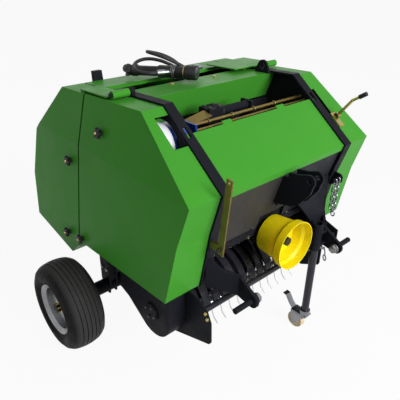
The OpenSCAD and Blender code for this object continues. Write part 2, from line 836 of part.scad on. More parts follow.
module rear_bracket() {
    d = unit(rear_slope - rear_top);
    base = [rear_top + d * 8, rear_top + d * 96];
    color(black) at_nose() {
        along_y(-330, -262) polygon(strip(base, -4));
        along_y(-300, -262) polygon([base[0], base[0] + [-8, 42], base[0] + [-32, 40], rear_top + d * 46]);
    }
}

// Drive shaft laid on the tailgate
shaft_from = [-765, -194, top_line(-765) + 38.4];
shaft_to = [-485, -37, top_line(-485) + 38.4];
module stored_shaft() {
    d = unit(shaft_to - shaft_from);
    color("#1c1c1f") at_nose() {
        rod(shaft_from, shaft_to, 26);
        rod(shaft_from, shaft_from + d * 60, 38);
        rod(shaft_to - d * 45, shaft_to, 30);
    }
}

// Hydraulic hoses looped over the shaft: routes as [x, y, height over the plate they come out of]
hose_r = 7;
gland_z = skin_top - 32;
far_route = [[-560, 5, 84], [-561, -30, 87], [-573, -61, 104], [-592, -92, 122], [-616, -124, 138],
    [-652, -142, 146], [-688, -132, 144], [-711, -98, 135], [-722, -58, 124], [-725, -18, 110],
    [-718, 17, 92], [-703, 43, 69], [-684, 58, 42], [-674, 64, 20], [-672, 65, 0]];
near_route = [[-560, -180, 88], [-572, -213, 88], [-601, -234, 92], [-638, -232, 99], [-670, -208, 107],
    [-687, -172, 114], [-684, -132, 116], [-665, -96, 110], [-645, -61, 95], [-634, -25, 74],
    [-636, 6, 47], [-642, 24, 20], [-643, 27, 0]];
module at_gland() {
    at_nose() translate([0, 0, gland_z]) children();
}
gland_r = 10;
gland_l = 14;
module hose_plate() {
    color(black) at_gland() {
        along_y(5, 88)
            polygon(strip([[skin_front, 29], [skin_front, -11], [skin_front + 68, -11]], 3));
        for (route = [far_route, near_route]) {
            end = route[len(route) - 1];
            rod(end + gland_l * unit(end - route[len(route) - 2]), end, gland_r);
        }
    }
}
module hose_far() {
    color("#232326") at_gland() swept(far_route, hose_r, 10, [0, 0, 1]);
}
module hose_near() {
    color("#232326") at_gland() swept(near_route, hose_r, 10, [0, 0, 1]);
}
coupler_r = 11;
coupler_l = 30;
plug_r = 8;
plug_l = 18;
module coupler(route) {
    start = route[0];
    d = unit(start - route[1]);
    rod(start, start + d * coupler_l, coupler_r);
    rod(start + d * (coupler_l - 1), start + d * (coupler_l + plug_l), plug_r);
}
module coupler_far() {
    color(steel) at_gland() coupler(far_route);
}
module coupler_near() {
    color(steel) at_gland() coupler(near_route);
}

side_frame_left();
side_frame_right();
front_cover_left();
front_cover_right();
hood();
top_plate();
front_wall();
twine_tray();
rollers_front();
axle();
mast();
hitch_arm_left();
hitch_arm_right();
gearbox();
pto_guard();
guard_rim();
stand_sleeve();
pickup_plate_left();
pickup_plate_right();
chain_case();
pickup_bands();
crop_guard();
twine_drum();
drum_flange();
twine_drive();
twine_rods();
hand_lever();
lifting_eye();
lift_lever();
check_chain();
chain_hook();
tailgate_side_left();
tailgate_side_right();
tailgate_skin();
rear_cover_left();
rear_cover_right();
hinge_arm_left();
hinge_arm_right();
rollers_rear();
rear_bracket();
stored_shaft();
hose_plate();
hose_far();
hose_near();
coupler_far();
coupler_near();
rim_left();
tyre_left();
rim_right();
tyre_right();
pickup_reel();
pto_stub();
stand_leg();
caster_fork();
caster_wheel();
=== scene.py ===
"""Mini round baler: paint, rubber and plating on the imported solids, with its small fittings."""
import json
from math import cos, pi, radians, sin

import bmesh
import bpy
from mathutils import Matrix, Vector


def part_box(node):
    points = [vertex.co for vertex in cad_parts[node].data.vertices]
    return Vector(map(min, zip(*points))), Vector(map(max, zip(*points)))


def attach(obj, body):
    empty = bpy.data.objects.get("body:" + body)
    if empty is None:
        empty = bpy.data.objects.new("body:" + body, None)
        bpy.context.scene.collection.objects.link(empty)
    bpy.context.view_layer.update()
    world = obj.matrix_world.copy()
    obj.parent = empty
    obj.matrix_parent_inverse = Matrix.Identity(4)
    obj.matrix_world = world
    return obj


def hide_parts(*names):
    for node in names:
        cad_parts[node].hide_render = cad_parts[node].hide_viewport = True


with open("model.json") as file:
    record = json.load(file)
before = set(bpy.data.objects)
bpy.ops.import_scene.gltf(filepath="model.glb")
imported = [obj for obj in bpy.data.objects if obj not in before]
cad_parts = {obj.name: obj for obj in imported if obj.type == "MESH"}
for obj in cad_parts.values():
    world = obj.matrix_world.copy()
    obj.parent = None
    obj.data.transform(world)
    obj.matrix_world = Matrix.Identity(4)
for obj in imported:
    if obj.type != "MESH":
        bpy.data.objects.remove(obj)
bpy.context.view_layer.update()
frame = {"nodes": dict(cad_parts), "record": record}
scene = bpy.context.scene

# Places are written in millimetres from the nose line, as the machine is drawn
MM = 0.001
NOSE_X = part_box("front_cover_right")[1][0]


def at(x, y, z):
    """Point in metres from a place in millimetres behind or ahead of the nose line."""
    return Vector((x * MM + NOSE_X, y * MM, z * MM))


# Camera
CAMERA_AT = at(912, -1272, 1586)
CAMERA_AZIMUTH = 137.97
CAMERA_ELEVATION = -28.19
CAMERA_ROLL = 0.837
CAMERA_LENS = 41.735
SENSOR_WIDTH = 36
VIEW_END = 50


def add_camera():
    az, el, roll = radians(CAMERA_AZIMUTH), radians(CAMERA_ELEVATION), radians(CAMERA_ROLL)
    ahead = Vector((cos(el) * cos(az), cos(el) * sin(az), sin(el)))
    level = Vector((sin(az), -cos(az), 0))
    upright = level.cross(ahead)
    right = level * cos(roll) + upright * sin(roll)
    up = upright * cos(roll) - level * sin(roll)
    data = bpy.data.cameras.new("camera")
    data.sensor_width = SENSOR_WIDTH
    data.lens = CAMERA_LENS
    data.clip_end = VIEW_END
    camera = bpy.data.objects.new("camera", data)
    turn = Matrix((right, up, -ahead)).transposed()
    camera.matrix_world = Matrix.Translation(CAMERA_AT) @ turn.to_4x4()
    scene.collection.objects.link(camera)
    scene.camera = camera


add_camera()


# Material building blocks: the range that most noise falls in, and how far a face turns where edges are
# painted lighter, as rubbed paint and painted highlight
NOISE_LOW, NOISE_HIGH = 0.3, 0.7
WEAR_AND_HIGHLIGHT_STARTS, WEAR_AND_HIGHLIGHT_FULL = 0.97, 0.80
EDGE_SAMPLES = 4


def shader(name, color, roughness, metallic=0.0, **sockets):
    """New material with one principled shader; extra sockets by their names with underscores."""
    mat = bpy.data.materials.new(name)
    mat.use_nodes = True
    bsdf = mat.node_tree.nodes["Principled BSDF"]
    bsdf.inputs["Base Color"].default_value = (*color, 1)
    bsdf.inputs["Roughness"].default_value = roughness
    bsdf.inputs["Metallic"].default_value = metallic
    for socket, value in sockets.items():
        bsdf.inputs[socket.replace("_", " ")].default_value = value
    return mat


def node(mat, kind, **values):
    made = mat.node_tree.nodes.new("ShaderNode" + kind)
    for key, value in values.items():
        if key in made.inputs:
            made.inputs[key].default_value = value
        else:
            setattr(made, key, value)
    return made


def wire(mat, source, target):
    mat.node_tree.links.new(source, target)


def bsdf_of(mat):
    return mat.node_tree.nodes["Principled BSDF"]


def noise(mat, scale, detail=3.0, stretch=(1, 1, 1)):
    """Noise on Object coordinates, stretched along the axes with small factors."""
    place = node(mat, "TexCoord")
    mapping = node(mat, "Mapping")
    mapping.inputs["Scale"].default_value = stretch
    texture = node(mat, "TexNoise", Scale=scale, Detail=detail)
    wire(mat, place.outputs["Object"], mapping.inputs["Vector"])
    wire(mat, mapping.outputs["Vector"], texture.inputs["Vector"])
    return texture.outputs["Fac"]


def steps(mat, source, low, high, to_low=0.0, to_high=1.0):
    """Source spread from low..high to to_low..to_high."""
    spread = node(mat, "MapRange")
    for socket, value in zip(("From Min", "From Max", "To Min", "To Max"), (low, high, to_low, to_high)):
        spread.inputs[socket].default_value = value
    wire(mat, source, spread.inputs["Value"])
    return spread.outputs["Result"]


def tint(mat, factor, color):
    """Mix color over what the shader has, where factor says."""
    bsdf = bsdf_of(mat)
    mix = node(mat, "Mix", data_type="RGBA")
    below, above, result = mix.inputs[6], mix.inputs[7], mix.outputs[2]
    base = bsdf.inputs["Base Color"]
    if base.is_linked:
        wire(mat, base.links[0].from_socket, below)
    else:
        below.default_value = base.default_value
    above.default_value = (*color, 1)
    wire(mat, factor, mix.inputs[0])
    wire(mat, result, base)


def rough(mat, source, low, high):
    wire(mat, steps(mat, source, NOISE_LOW, NOISE_HIGH, low, high), bsdf_of(mat).inputs["Roughness"])


def bump(mat, height, distance, strength=1.0):
    """Add a bump of that height in metres over any bump already there."""
    bsdf = bsdf_of(mat)
    made = node(mat, "Bump", Strength=strength, Distance=distance)
    wire(mat, height, made.inputs["Height"])
    if bsdf.inputs["Normal"].is_linked:
        wire(mat, bsdf.inputs["Normal"].links[0].from_socket, made.inputs["Normal"])
    wire(mat, made.outputs["Normal"], bsdf.inputs["Normal"])


def soft_edges(mat, radius):
    """Rounded light on the sharp edges of folded sheet and cut plate."""
    made = node(mat, "Bevel", samples=EDGE_SAMPLES, Radius=radius)
    wire(mat, made.outputs["Normal"], bsdf_of(mat).inputs["Normal"])


def edge_wear_and_highlight(mat, radius, color, amount):
    """Edges painted lighter, broken up by noise: paint rubbed thin, and a painted edge highlight."""
    bevel = node(mat, "Bevel", samples=EDGE_SAMPLES, Radius=radius)
    geometry = node(mat, "NewGeometry")
    facing = node(mat, "VectorMath", operation="DOT_PRODUCT")
    wire(mat, bevel.outputs["Normal"], facing.inputs[0])
    wire(mat, geometry.outputs["Normal"], facing.inputs[1])
    edge = steps(mat, facing.outputs["Value"], WEAR_AND_HIGHLIGHT_STARTS, WEAR_AND_HIGHLIGHT_FULL)
    patch = steps(mat, noise(mat, 60, 4), 0.48, 0.62)
    both = node(mat, "Math", operation="MULTIPLY")
    part = node(mat, "Math", operation="MULTIPLY")
    part.inputs[1].default_value = amount
    wire(mat, edge, both.inputs[0])
    wire(mat, patch, both.inputs[1])
    wire(mat, both.outputs["Value"], part.inputs[0])
    tint(mat, part.outputs["Value"], color)


def reach_from(mat, x, z):
    """Distance in metres from an axle that runs across the machine at a place in millimetres."""
    place = node(mat, "TexCoord")
    flat = node(mat, "VectorMath", operation="MULTIPLY")
    flat.inputs[1].default_value = (1, 0, 1)
    reach = node(mat, "VectorMath", operation="DISTANCE")
    reach.inputs[1].default_value = at(x, 0, z)
    wire(mat, place.outputs["Object"], flat.inputs[0])
    wire(mat, flat.outputs["Vector"], reach.inputs[0])
    return reach.outputs["Value"]


# Axles of the road wheels and of the reel
WHEEL_X, WHEEL_Z = -661, 203
REEL_X, REEL_Z = -228, 360
# Reach from its axle, in metres, over which a tyre's dark side turns to paler tread
SIDE_END, TREAD_START = 0.185, 0.197
# Reach from the reel's axle, in metres, over which the coat ends and a tine is bare
COAT_END, BARE_START = 0.112, 0.116


# Finishes, one for each slot of the record
def green_paint():
    mat = shader("green_enamel", (0.052, 0.280, 0.026), 0.36, Specular_IOR_Level=0.05)
    soft_edges(mat, 0.002)
    tint(mat, steps(mat, noise(mat, 2.2, 2), 0.35, 0.7, 0, 0.5), (0.042, 0.240, 0.026))
    tint(mat, steps(mat, noise(mat, 45, 6), 0.62, 0.8, 0, 0.25), (0.10, 0.27, 0.07))
    # lighter green edges: rubbed paint and a painted edge highlight
    edge_wear_and_highlight(mat, 0.0015, (0.16, 0.34, 0.12), 0.5)
    rough(mat, noise(mat, 14, 4), 0.28, 0.42)
    bump(mat, noise(mat, 3.2, 1), 0.02, 0.35)
    bump(mat, noise(mat, 260, 2), 0.0002, 0.25)
    return mat


def black_paint():
    mat = shader("dark_powder_coat", (0.011, 0.0115, 0.0155), 0.42, Specular_IOR_Level=0.03)
    soft_edges(mat, 0.002)
    tint(mat, steps(mat, noise(mat, 5, 4), 0.35, 0.7, 0, 0.7), (0.014, 0.0145, 0.019))
    tint(mat, steps(mat, noise(mat, 70, 6), 0.62, 0.75, 0, 0.25), (0.045, 0.043, 0.042))
    # light grey edges: rubbed paint and a painted edge highlight
    edge_wear_and_highlight(mat, 0.0018, (0.16, 0.16, 0.165), 0.6)
    rough(mat, noise(mat, 18, 4), 0.34, 0.55)
    bump(mat, noise(mat, 420, 2), 0.0003, 0.35)
    return mat


def grey_paint():
    mat = shader("grey_brown_coat", (0.042, 0.040, 0.036), 0.5, Specular_IOR_Level=0.08)
    soft_edges(mat, 0.002)
    tint(mat, steps(mat, noise(mat, 4, 4), 0.35, 0.7, 0, 0.8), (0.034, 0.033, 0.032))
    # painted shade: the coat turns a darker blue-black towards the machine's left (+y), where the wall lies
    # in shade
    place = node(mat, "TexCoord")
    axes = node(mat, "SeparateXYZ")
    wire(mat, place.outputs["Object"], axes.inputs[0])
    tint(mat, steps(mat, axes.outputs["Y"], -0.10, 0.12, 0, 0.8), (0.016, 0.017, 0.022))
    tint(mat, steps(mat, noise(mat, 55, 6), 0.6, 0.75, 0, 0.4), (0.085, 0.078, 0.066))
    rough(mat, noise(mat, 16, 4), 0.42, 0.62)
    bump(mat, noise(mat, 380, 2), 0.0003, 0.35)
    return mat


def bare_steel():
    mat = shader("worn_steel", (0.30, 0.30, 0.31), 0.38, 1.0)
    tint(mat, steps(mat, noise(mat, 9, 5), 0.4, 0.7, 0, 0.8), (0.17, 0.165, 0.16))
    tint(mat, steps(mat, noise(mat, 40, 6), 0.66, 0.78, 0, 0.5), (0.20, 0.12, 0.07))
    rough(mat, noise(mat, 120, 3, (1, 0.05, 1)), 0.26, 0.5)
    bump(mat, noise(mat, 300, 3, (1, 0.1, 1)), 0.0004, 0.3)
    return mat


def dark_steel():
    mat = shader("oiled_steel", (0.055, 0.052, 0.048), 0.42, 1.0)
    tint(mat, steps(mat, noise(mat, 20, 4), 0.4, 0.7, 0, 0.8), (0.032, 0.030, 0.028))
    rough(mat, noise(mat, 60, 3), 0.34, 0.55)
    bump(mat, noise(mat, 400, 2), 0.0003, 0.3)
    return mat


def spring_steel():
    mat = shader("bright_wire", (0.62, 0.62, 0.63), 0.3, 1.0)
    tint(mat, steps(mat, noise(mat, 12, 4), 0.45, 0.75, 0, 0.8), (0.42, 0.42, 0.43))
    rough(mat, noise(mat, 60, 3), 0.22, 0.45)
    bump(mat, noise(mat, 500, 2), 0.0002, 0.2)
    return mat


def zinc_plate():
    mat = shader("zinc_plating", (0.25, 0.26, 0.28), 0.30, 1.0)
    tint(mat, steps(mat, noise(mat, 18, 3), 0.4, 0.7, 0, 0.7), (0.15, 0.155, 0.17))
    rough(mat, noise(mat, 25, 3), 0.24, 0.42)
    bump(mat, noise(mat, 200, 2), 0.0001, 0.15)
    return mat


def yellow_zinc():
    mat = shader("yellow_passivation", (0.44, 0.32, 0.10), 0.32, 1.0)
    tint(mat, steps(mat, noise(mat, 28, 4), 0.42, 0.66, 0, 0.7), (0.36, 0.35, 0.15))
    tint(mat, steps(mat, noise(mat, 16, 3), 0.55, 0.75, 0, 0.5), (0.38, 0.21, 0.14))
    rough(mat, noise(mat, 60, 4), 0.24, 0.45)
    bump(mat, noise(mat, 350, 3), 0.0002, 0.25)
    return mat


def silver_paint():
    mat = shader("silver_enamel", (0.25, 0.255, 0.265), 0.3, 0.9)
    tint(mat, steps(mat, noise(mat, 10, 4), 0.4, 0.7, 0, 0.6), (0.18, 0.185, 0.195))
    tint(mat, steps(mat, noise(mat, 60, 6), 0.64, 0.76, 0, 0.4), (0.12, 0.118, 0.112))
    rough(mat, noise(mat, 30, 4), 0.22, 0.36)
    bump(mat, noise(mat, 260, 2), 0.0001, 0.2)
    return mat


def yellow_plastic():
    mat = shader("guard_plastic", (0.83, 0.66, 0.006), 0.4, Specular_IOR_Level=0.2, Subsurface_Weight=0.4,
                 Subsurface_Radius=(1.0, 0.75, 0.05), Subsurface_Scale=0.012)
    tint(mat, steps(mat, noise(mat, 8, 4), 0.4, 0.7, 0, 0.6), (0.78, 0.61, 0.006))
    tint(mat, steps(mat, noise(mat, 90, 6), 0.64, 0.75, 0, 0.3), (0.52, 0.40, 0.02))
    rough(mat, noise(mat, 22, 4), 0.28, 0.46)
    bump(mat, noise(mat, 300, 2), 0.0003, 0.2)
    return mat


def black_plastic():
    mat = shader("black_plastic", (0.013, 0.013, 0.014), 0.45, Specular_IOR_Level=0.2)
    soft_edges(mat, 0.002)
    tint(mat, steps(mat, noise(mat, 12, 4), 0.4, 0.7, 0, 0.7), (0.028, 0.028, 0.029))
    rough(mat, noise(mat, 40, 4), 0.36, 0.56)
    bump(mat, noise(mat, 600, 2), 0.0002, 0.4)
    return mat


def blue_paint():
    mat = shader("blue_enamel", (0.010, 0.035, 0.20), 0.3, Coat_Weight=0.3)
    tint(mat, steps(mat, noise(mat, 8, 4), 0.4, 0.7, 0, 0.6), (0.014, 0.05, 0.26))
    rough(mat, noise(mat, 20, 4), 0.24, 0.4)
    bump(mat, noise(mat, 300, 2), 0.0002, 0.25)
    return mat


def white_paint():
    mat = shader("white_enamel", (0.74, 0.75, 0.78), 0.4)
    tint(mat, steps(mat, noise(mat, 10, 4), 0.4, 0.7, 0, 0.6), (0.64, 0.66, 0.70))
    rough(mat, noise(mat, 20, 4), 0.32, 0.5)
    bump(mat, noise(mat, 300, 2), 0.0002, 0.25)
    return mat


def nylon():
    mat = shader("cream_nylon", (0.66, 0.55, 0.34), 0.5, Subsurface_Weight=0.08)
    tint(mat, steps(mat, noise(mat, 20, 4), 0.4, 0.7, 0, 0.7), (0.52, 0.42, 0.24))
    rough(mat, noise(mat, 40, 4), 0.42, 0.6)
    bump(mat, noise(mat, 260, 3), 0.0003, 0.3)
    return mat


def hose_rubber():
    mat = shader("hose_rubber", (0.014, 0.014, 0.016), 0.5, Specular_IOR_Level=0.2)
    tint(mat, steps(mat, noise(mat, 30, 4), 0.4, 0.7, 0, 0.8), (0.034, 0.034, 0.036))
    rough(mat, noise(mat, 60, 4), 0.4, 0.62)
    bump(mat, noise(mat, 700, 3), 0.0003, 0.4)
    return mat


def tyre_rubber():
    mat = shader("tyre_rubber", (0.009, 0.0085, 0.0085), 0.62, Specular_IOR_Level=0.08)
    tint(mat, steps(mat, noise(mat, 7, 5), 0.4, 0.7, 0, 0.6), (0.015, 0.014, 0.014))
    reach = reach_from(mat, WHEEL_X, WHEEL_Z)
    tint(mat, steps(mat, reach, SIDE_END, TREAD_START, 0, 0.9), (0.040, 0.039, 0.039))
    tint(mat, steps(mat, noise(mat, 80, 6), 0.62, 0.76, 0, 0.3), (0.060, 0.057, 0.053))
    rough(mat, noise(mat, 30, 5), 0.5, 0.75)
    bump(mat, noise(mat, 320, 4), 0.0005, 0.4)
    return mat


FINISHES = {
    make.__name__: make()
    for make in (green_paint, black_paint, grey_paint, bare_steel, dark_steel, spring_steel, zinc_plate,
                 yellow_zinc, silver_paint, yellow_plastic, black_plastic, blue_paint, white_paint, nylon,
                 hose_rubber, tyre_rubber)
}


def glossy_black_with_sheen():
    """The dark coat on round bars, rubbed smooth; its base is paler than the plain dark coat, a painted
    sheen.
    """
    mat = shader("rubbed_dark_coat_sheen", (0.018, 0.0185, 0.024), 0.24, Specular_IOR_Level=0.24)
    tint(mat, steps(mat, noise(mat, 30, 5), 0.5, 0.75, 0, 0.6), (0.026, 0.026, 0.033))
    rough(mat, noise(mat, 18, 4), 0.18, 0.36)
    bump(mat, noise(mat, 300, 2), 0.0001, 0.2)
    return mat


def dull_shaded_yellow_zinc():
    """Yellow plating on the lift lever and the twine gear, grown dull, its base painted darker: painted shade
    on the twine gear down in its box.
    """
    mat = shader("dull_passivation_shaded", (0.20, 0.145, 0.042), 0.5, 1.0)
    tint(mat, steps(mat, noise(mat, 28, 4), 0.42, 0.66, 0, 0.7), (0.14, 0.125, 0.045))
    tint(mat, steps(mat, noise(mat, 16, 3), 0.55, 0.75, 0, 0.5), (0.16, 0.09, 0.04))
    # brighter plating on the edges: rubbed through, and a painted edge highlight
    edge_wear_and_highlight(mat, 0.0015, (0.60, 0.47, 0.22), 0.9)
    rough(mat, noise(mat, 60, 4), 0.42, 0.6)
    bump(mat, noise(mat, 350, 3), 0.0002, 0.25)
    return mat


def tine_wire():
    """Dark coat on the reel's shaft, discs and bars, bright wire on the tines that stand out of them."""
    mat = shader("tine_wire", (0.55, 0.55, 0.56), 0.32)
    reach = reach_from(mat, REEL_X, REEL_Z)
    bare = steps(mat, reach, COAT_END, BARE_START)
    coated = steps(mat, reach, BARE_START, COAT_END)
    tint(mat, coated, (0.012, 0.012, 0.016))
    wire(mat, bare, bsdf_of(mat).inputs["Metallic"])
    rough(mat, noise(mat, 60, 3), 0.26, 0.45)
    bump(mat, noise(mat, 500, 2), 0.0002, 0.2)
    return mat


# Solids that wear their slot's finish in another state: rubbed glossy with a painted sheen, or grown dull
# with painted shade
DULL_SHADED_ZINC = dull_shaded_yellow_zinc()
# round bars in a paler, glossier dark coat: the paler base is a painted sheen
RUBBED_SHEEN_NODES = ("crop_guard", "stand_leg", "pickup_bands")
# lift lever and twine rods in a dull, darker plating; on the twine rods the darkness is painted shade
DULL_SHADED_NODES = ("lift_lever", "twine_rods")


def paint_solids():
    worn = dict.fromkeys(RUBBED_SHEEN_NODES, glossy_black_with_sheen())
    worn.update(dict.fromkeys(DULL_SHADED_NODES, DULL_SHADED_ZINC))
    worn["pickup_reel"] = tine_wire()
    for part in frame["record"]["subparts"]:
        solid = frame["nodes"][part["node"]]
        solid.data.materials.clear()
        solid.data.materials.append(worn.get(part["node"], FINISHES[part["material_slot"]]))


# Hydraulic hoses: the routes of the solids, as [x, y, height over the plate they come out of]
HOSE_DIAMETER = 14
GLAND_Z = 1079
HOSES = {
    "far": [
        [-560, 5, 84], [-561, -30, 87], [-573, -61, 104], [-592, -92, 122], [-616, -124, 138],
        [-652, -142, 146], [-688, -132, 144], [-711, -98, 135], [-722, -58, 124], [-725, -18, 110],
        [-718, 17, 92], [-703, 43, 69], [-684, 58, 42], [-674, 64, 20], [-672, 65, 0]],
    "near": [
        [-560, -180, 88], [-572, -213, 88], [-601, -234, 92], [-638, -232, 99], [-670, -208, 107],
        [-687, -172, 114], [-684, -132, 116], [-665, -96, 110], [-645, -61, 95], [-634, -25, 74],
        [-636, 6, 47], [-642, 24, 20], [-643, 27, 0]],
}


def add_hose(side, route):
    """One hose as a round curve from its gland to its coupler."""
    points = [at(x, y, z + GLAND_Z) for x, y, z in reversed(route)]
    data = bpy.data.curves.new("hose_" + side + "_line", "CURVE")
    data.dimensions = "3D"
    data.bevel_depth = HOSE_DIAMETER / 2 * MM
    data.bevel_resolution = 5
    data.resolution_u = 6
    data.use_fill_caps = True
    line = data.splines.new("BEZIER")
    line.bezier_points.add(len(points) - 1)
    for knot, point in zip(line.bezier_points, points):
        knot.co = point
        knot.handle_left_type = knot.handle_right_type = "AUTO"
    hose = bpy.data.objects.new("hydraulic_hose_" + side, data)
    scene.collection.objects.link(hose)
    data.materials.append(FINISHES["hose_rubber"])
    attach(hose, "tailgate")
    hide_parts("hose_" + side)


for side, route in HOSES.items():
    add_hose(side, route)
paint_solids()


# Making pieces
SHARP_ANGLE = 35
SIDES = {"right": -1, "left": 1}
UP, ACROSS, TO_RIGHT = (0, 0, 1), (0, 1, 0), (0, -1, 0)


def new_piece(name, bm, body, slot, finish=None):
    """Finished piece at the origin from a mesh in the machine's frame."""
    bmesh.ops.recalc_face_normals(bm, faces=bm.faces)
    for face in bm.faces:
        face.smooth = True
    mesh = bpy.data.meshes.new(name)
    bm.to_mesh(mesh)
    bm.free()
    mesh.set_sharp_from_angle(angle=radians(SHARP_ANGLE))
    obj = bpy.data.objects.new(name, mesh)
    scene.collection.objects.link(obj)
    mesh.materials.append(finish or FINISHES[slot])
    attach(obj, body)
    return obj


def stand_on(point, direction):
    """Matrix that takes a shape drawn up the z axis to a point and a direction."""
    turn = Vector(UP).rotation_difference(Vector(direction).normalized())
    return Matrix.Translation(point) @ turn.to_matrix().to_4x4()


def edges_at(corners):
    """Edges that meet at corners, each once."""
    return list(dict.fromkeys(e for v in corners for e in v.link_edges))


def disc(bm, radius, low, high, sides=24, edge=0.0):
    """Round or sided disc from low to high up the z axis, its top edge bevelled."""
    made = bmesh.ops.create_cone(bm, cap_ends=True, segments=sides, radius1=radius * MM, radius2=radius * MM,
                                 depth=(high - low) * MM)
    corners = made["verts"]
    bmesh.ops.translate(bm, vec=(0, 0, (low + high) / 2 * MM), verts=corners)
    if edge:
        rim = [e for e in edges_at(corners) if all(v.co.z > high * MM - 1e-7 for v in e.verts)]
        bmesh.ops.bevel(bm, geom=rim, offset=edge * MM, affect="EDGES", segments=2, profile=0.5, material=-1)


def joined(shapes):
    """One mesh from (mesh, matrix) pairs."""
    whole = bmesh.new()
    for shape, place in shapes:
        part = shape.copy()
        bmesh.ops.transform(part, matrix=place, verts=part.verts)
        mesh = bpy.data.meshes.new("part")
        part.to_mesh(mesh)
        part.free()
        whole.from_mesh(mesh)
        bpy.data.meshes.remove(mesh)
    return whole


# Washer and head of a bolt, as shares of its thread's diameter
WASHER_TOP, WASHER_EDGE = 0.18, 0.05
HEAD_R, HEAD_TOP, HEAD_EDGE = 0.9, 0.8, 0.1


def bolt(size):
    """Hexagon head on its washer, standing on z = 0; size is the thread's diameter."""
    washer = bmesh.new()
    disc(washer, size, 0, size * WASHER_TOP, edge=size * WASHER_EDGE)
    head = bmesh.new()
    disc(head, size * HEAD_R, size * WASHER_TOP, size * HEAD_TOP, sides=6, edge=size * HEAD_EDGE)
    return joined([(washer, Matrix()), (head, Matrix())])


def bolts(name, size, places, body, slot):
    """Bolts of one size as one piece; places are (point, direction)."""
    shape = bolt(size)
    whole = joined([(shape, stand_on(point, direction)) for point, direction in places])
    shape.free()
    new_piece(name, whole, body, slot)


def circle(bm, centre, along, across, radius, sides, filled=False):
    """Edges of a circle that is square to one direction and has its first corner in another."""
    turn = Matrix((across.cross(along), across, along)).transposed().to_4x4()
    made = bmesh.ops.create_circle(bm, cap_ends=filled, segments=sides, radius=radius * MM,
                                   matrix=Matrix.Translation(centre) @ turn)
    return edges_at(made["verts"])


def tube(bm, points, radius, sides=10):
    """Round bar along points in metres; the radius is in millimetres."""
    last = len(points) - 1
    across = None
    rings = []
    for i, point in enumerate(points):
        along = (points[min(i + 1, last)] - points[max(i - 1, 0)]).normalized()
        across = along.orthogonal() if across is None else across - along * across.dot(along)
        across.normalize()
        rings.append(circle(bm, point, along, across, radius, sides, i in (0, last)))
    for ring, after in zip(rings, rings[1:]):
        bmesh.ops.bridge_loops(bm, edges=ring + after)


def hoop(bm, centre, axis, radius, thickness, count=32, sides=8):
    """Closed round ring about an axis."""
    axis = Vector(axis).normalized()
    outward = axis.orthogonal().normalized()
    ring = circle(bm, centre + outward * radius * MM, axis.cross(outward), axis, thickness, sides)
    corners = list(dict.fromkeys(v for e in ring for v in e.verts))
    bmesh.ops.spin(bm, geom=corners + ring, cent=centre, axis=axis, angle=2 * pi, steps=count, use_merge=True)


def lathe(profile, place, segments=96):
    """Closed (radius, height) profile turned once about the z axis and set in place."""
    bm = bmesh.new()
    corners = [bm.verts.new((r * MM, 0, h * MM)) for r, h in profile]
    edges = [bm.edges.new((a, b)) for a, b in zip(corners, corners[1:] + corners[:1])]
    bmesh.ops.spin(bm, geom=corners + edges, cent=(0, 0, 0), axis=UP, angle=2 * pi, steps=segments,
                   use_merge=True)
    bmesh.ops.transform(bm, matrix=place, verts=bm.verts)
    return bm


def sheet(bm, outline, depth):
    """Flat plate over outline corners in metres, thickened by a vector."""
    face = bm.faces.new([bm.verts.new(p) for p in outline])
    made = bmesh.ops.extrude_face_region(bm, geom=[face])["geom"]
    bmesh.ops.translate(bm, vec=depth, verts=[v for v in made if isinstance(v, bmesh.types.BMVert)])


# Sides and top of the covers
HALF_TOP, HALF_NOSE, HALF_LOW = 450, 493, 528
TOP_Z, NOSE_Z, LOW_Z = 1131, 908, 373
TOP_FROM, TOP_SLOPE = -290, 0.05


def half_at(z):
    """Half width of the covers at a height."""
    if z > NOSE_Z:
        return HALF_NOSE + (HALF_TOP - HALF_NOSE) * (z - NOSE_Z) / (TOP_Z - NOSE_Z)
    return HALF_NOSE + (HALF_LOW - HALF_NOSE) * (NOSE_Z - z) / (NOSE_Z - LOW_Z)


def on_side(x, z, side):
    """Point on a cover's side and the direction out of it."""
    lean = (half_at(z + 1) - half_at(z - 1)) / 2
    return at(x, side * half_at(z), z), (0, side, -lean)


def top_line(x):
    return TOP_Z + (x - TOP_FROM) * TOP_SLOPE


# Star knobs that close the covers, as [x, z], each a neck under a star with a stud through it
KNOBS = {"chassis": [(-512, 1002), (-672, 491)], "tailgate": [(-738, 828), (-791, 471)]}
NECK_R, NECK_TOP = 10, 9
STAR_LOBES, STAR_CORNERS = 6, 72
STAR_R, LOBE_RISE = 17, 4
STAR_FOOT, STAR_T, STAR_EDGE = 8, 15, 3
STUD_R, STUD_FOOT, STUD_TOP = 5, 22, 27


def star_knob():
    neck = bmesh.new()
    disc(neck, NECK_R, 0, NECK_TOP)
    turns = [2 * pi * k / STAR_CORNERS for k in range(STAR_CORNERS)]
    reach = [(STAR_R + LOBE_RISE * cos(STAR_LOBES * t)) * MM for t in turns]
    outline = [Vector((r * cos(t), r * sin(t), STAR_FOOT * MM)) for r, t in zip(reach, turns)]
    star = bmesh.new()
    sheet(star, outline, (0, 0, STAR_T * MM))
    rims = [e for e in star.edges if abs(e.verts[0].co.z - e.verts[1].co.z) < 1e-6]
    bmesh.ops.bevel(star, geom=rims, offset=STAR_EDGE * MM, affect="EDGES", segments=3, profile=0.5,
                    material=-1)
    return joined([(neck, Matrix()), (star, Matrix())])


def add_knobs():
    knob = star_knob()
    stud = bmesh.new()
    disc(stud, STUD_R, STUD_FOOT, STUD_TOP, edge=1)
    for body, places in KNOBS.items():
        spots = [stand_on(*on_side(x, z, side)) for x, z in places for side in SIDES.values()]
        new_piece("cover_knobs_" + body, joined([(knob, spot) for spot in spots]), body, "black_plastic")
        new_piece("knob_studs_" + body, joined([(stud, spot) for spot in spots]), body, "yellow_zinc")
    knob.free()
    stud.free()


